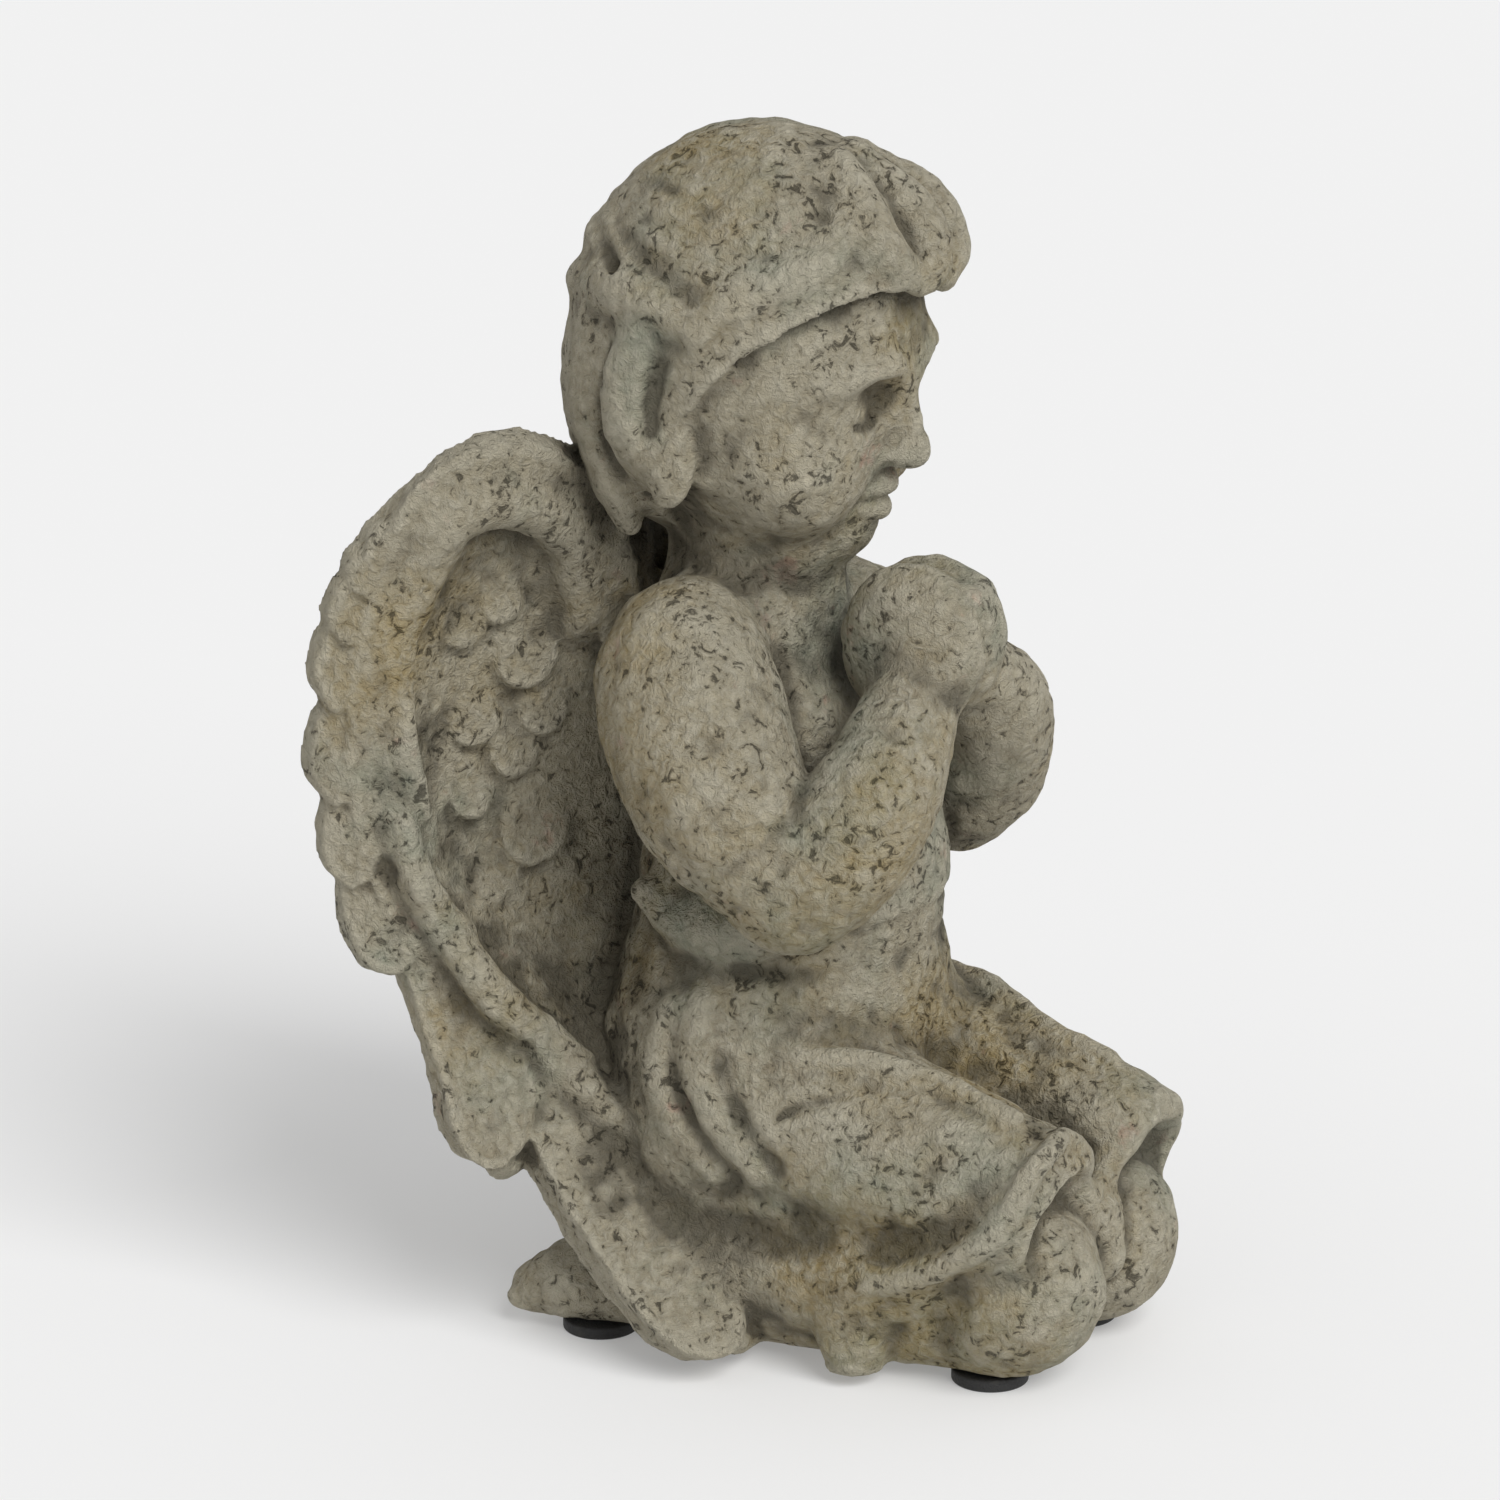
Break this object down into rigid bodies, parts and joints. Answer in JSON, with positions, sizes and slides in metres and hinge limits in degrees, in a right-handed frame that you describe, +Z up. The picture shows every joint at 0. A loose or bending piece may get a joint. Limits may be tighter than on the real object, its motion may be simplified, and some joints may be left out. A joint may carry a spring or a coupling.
{
  "type": "stone putto statue",
  "caption": "Cast stone garden statue of a winged child kneeling back on the heels with clasped hands, in a belted tunic, standing on small round rubber pads.",
  "frame": {"origin": "on the ground, under the middle of the object's box", "axes": "+Z up, the figure kneels facing -Y, its right hand side is towards -X"},
  "size_m": [0.2274, 0.2375, 0.3808],
  "materials": {
    "cast_stone": "rough pitted cast cement stone, aged grey-green with ochre and pink patches and pale dust on the edges",
    "rubber_pad": "matt black rubber"
  },
  "bodies": {
    "root": {"putto": "cast_stone", "pad_knee_right": "rubber_pad", "pad_knee_left": "rubber_pad", "pad_foot_right": "rubber_pad", "pad_foot_left": "rubber_pad"}
  },
  "joints": []
}
